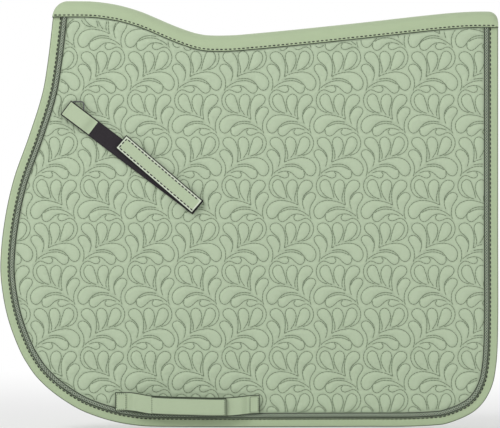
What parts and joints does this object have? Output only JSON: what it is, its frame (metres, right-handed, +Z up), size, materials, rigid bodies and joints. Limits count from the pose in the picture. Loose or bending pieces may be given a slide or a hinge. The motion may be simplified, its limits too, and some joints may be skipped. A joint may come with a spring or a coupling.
{
  "type": "saddle pad",
  "caption": "Quilted saddle pad with bound edges, contoured spine band, trim cord, touch-tape saddle straps with keeper rings, and girth loops.",
  "frame": {"origin": "under the spine tape at the lowest point of the topline, on the middle plane, where the pad rests", "axes": "+X towards the tail, +Y towards the far (right) side, +Z up; the near (left) side faces -Y"},
  "size_m": [0.6457, 0.0556, 0.5528],
  "materials": {
    "quilt": "matt sage green cotton, feather quilted",
    "band": "plain woven sage green tape",
    "strap": "sage green strap cloth",
    "cord": "braided grey green cord",
    "touch_tape": "black touch tape and webbing",
    "lining": "plain cotton lining",
    "foam": "foam sheet",
    "wadding": "polyester wadding",
    "ring": "dark nickel plated wire"
  },
  "bodies": {
    "spine": {"spine_binding": "band", "spine_pad": "wadding", "spine_tape": "lining"},
    "left_side": {"left_outer_quilt": "quilt", "left_foam_core": "foam", "left_lining": "lining", "left_edge_binding": "band", "left_trim_cord": "cord", "left_keeper_ring": "ring", "left_ring_tab": "strap", "left_strap_end": "strap", "left_girth_front_end": "strap", "left_girth_rear_end": "strap"},
    "left_strap": {"left_strap_backing": "touch_tape", "left_strap_cover": "strap", "left_strap_loop_tape": "touch_tape"},
    "left_flap": {"left_flap_cover": "strap", "left_flap_hook_tape": "touch_tape"},
    "left_girth_front": {"left_girth_front_strap": "strap", "left_girth_hook_tape": "touch_tape"},
    "left_girth_rear": {"left_girth_rear_strap": "strap", "left_girth_loop_tape": "touch_tape"},
    "right_side": {"right_outer_quilt": "quilt", "right_foam_core": "foam", "right_lining": "lining", "right_edge_binding": "band", "right_trim_cord": "cord", "right_keeper_ring": "ring", "right_ring_tab": "strap", "right_strap_end": "strap", "right_girth_front_end": "strap", "right_girth_rear_end": "strap"},
    "right_strap": {"right_strap_backing": "touch_tape", "right_strap_cover": "strap", "right_strap_loop_tape": "touch_tape"},
    "right_flap": {"right_flap_cover": "strap", "right_flap_hook_tape": "touch_tape"},
    "right_girth_front": {"right_girth_front_strap": "strap", "right_girth_hook_tape": "touch_tape"},
    "right_girth_rear": {"right_girth_rear_strap": "strap", "right_girth_loop_tape": "touch_tape"}
  },
  "joints": [
    {"name": "left_fold", "type": "hinge", "parent": "spine", "child": "left_side", "pos_m": [0, -0.0164, 0.0359], "axis": [-1, 0, 0], "range_deg": [0, 85], "deforming": ["spine_binding"]},
    {"name": "left_strap_lift", "type": "hinge", "parent": "left_side", "child": "left_strap", "pos_m": [-0.20054, -0.0231, -0.0885], "axis": [-0.6032, 0, -0.7976], "range_deg": [0, 100]},
    {"name": "left_flap_open", "type": "hinge", "parent": "left_strap", "child": "left_flap", "pos_m": [-0.03301, -0.01895, -0.21521], "axis": [0.6508, 0, 0.7593], "range_deg": [0, 175]},
    {"name": "left_girth_open", "type": "hinge", "parent": "left_side", "child": "left_girth_front", "pos_m": [-0.1248, -0.0194, -0.4672], "axis": [0, 0, -1], "range_deg": [0, 100]},
    {"name": "left_girth_rear_open", "type": "hinge", "parent": "left_side", "child": "left_girth_rear", "pos_m": [0.0338, -0.0194, -0.4672], "axis": [0, 0, 1], "range_deg": [0, 22]},
    {"name": "right_fold", "type": "hinge", "parent": "spine", "child": "right_side", "pos_m": [0, 0.0164, 0.0359], "axis": [1, 0, 0], "range_deg": [0, 85], "deforming": ["spine_binding"]},
    {"name": "right_strap_lift", "type": "hinge", "parent": "right_side", "child": "right_strap", "pos_m": [-0.20054, 0.0231, -0.0885], "axis": [0.6032, 0, 0.7976], "range_deg": [0, 100]},
    {"name": "right_flap_open", "type": "hinge", "parent": "right_strap", "child": "right_flap", "pos_m": [-0.03301, 0.01895, -0.21521], "axis": [-0.6508, 0, -0.7593], "range_deg": [0, 175]},
    {"name": "right_girth_open", "type": "hinge", "parent": "right_side", "child": "right_girth_front", "pos_m": [-0.1248, 0.0194, -0.4672], "axis": [0, 0, 1], "range_deg": [0, 100]},
    {"name": "right_girth_rear_open", "type": "hinge", "parent": "right_side", "child": "right_girth_rear", "pos_m": [0.0338, 0.0194, -0.4672], "axis": [0, 0, -1], "range_deg": [0, 22]}
  ],
  "couplings": [
    {"joint": "left_girth_rear_open", "follows": "left_girth_open", "ratio": 0.22},
    {"joint": "right_girth_rear_open", "follows": "right_girth_open", "ratio": 0.22}
  ]
}
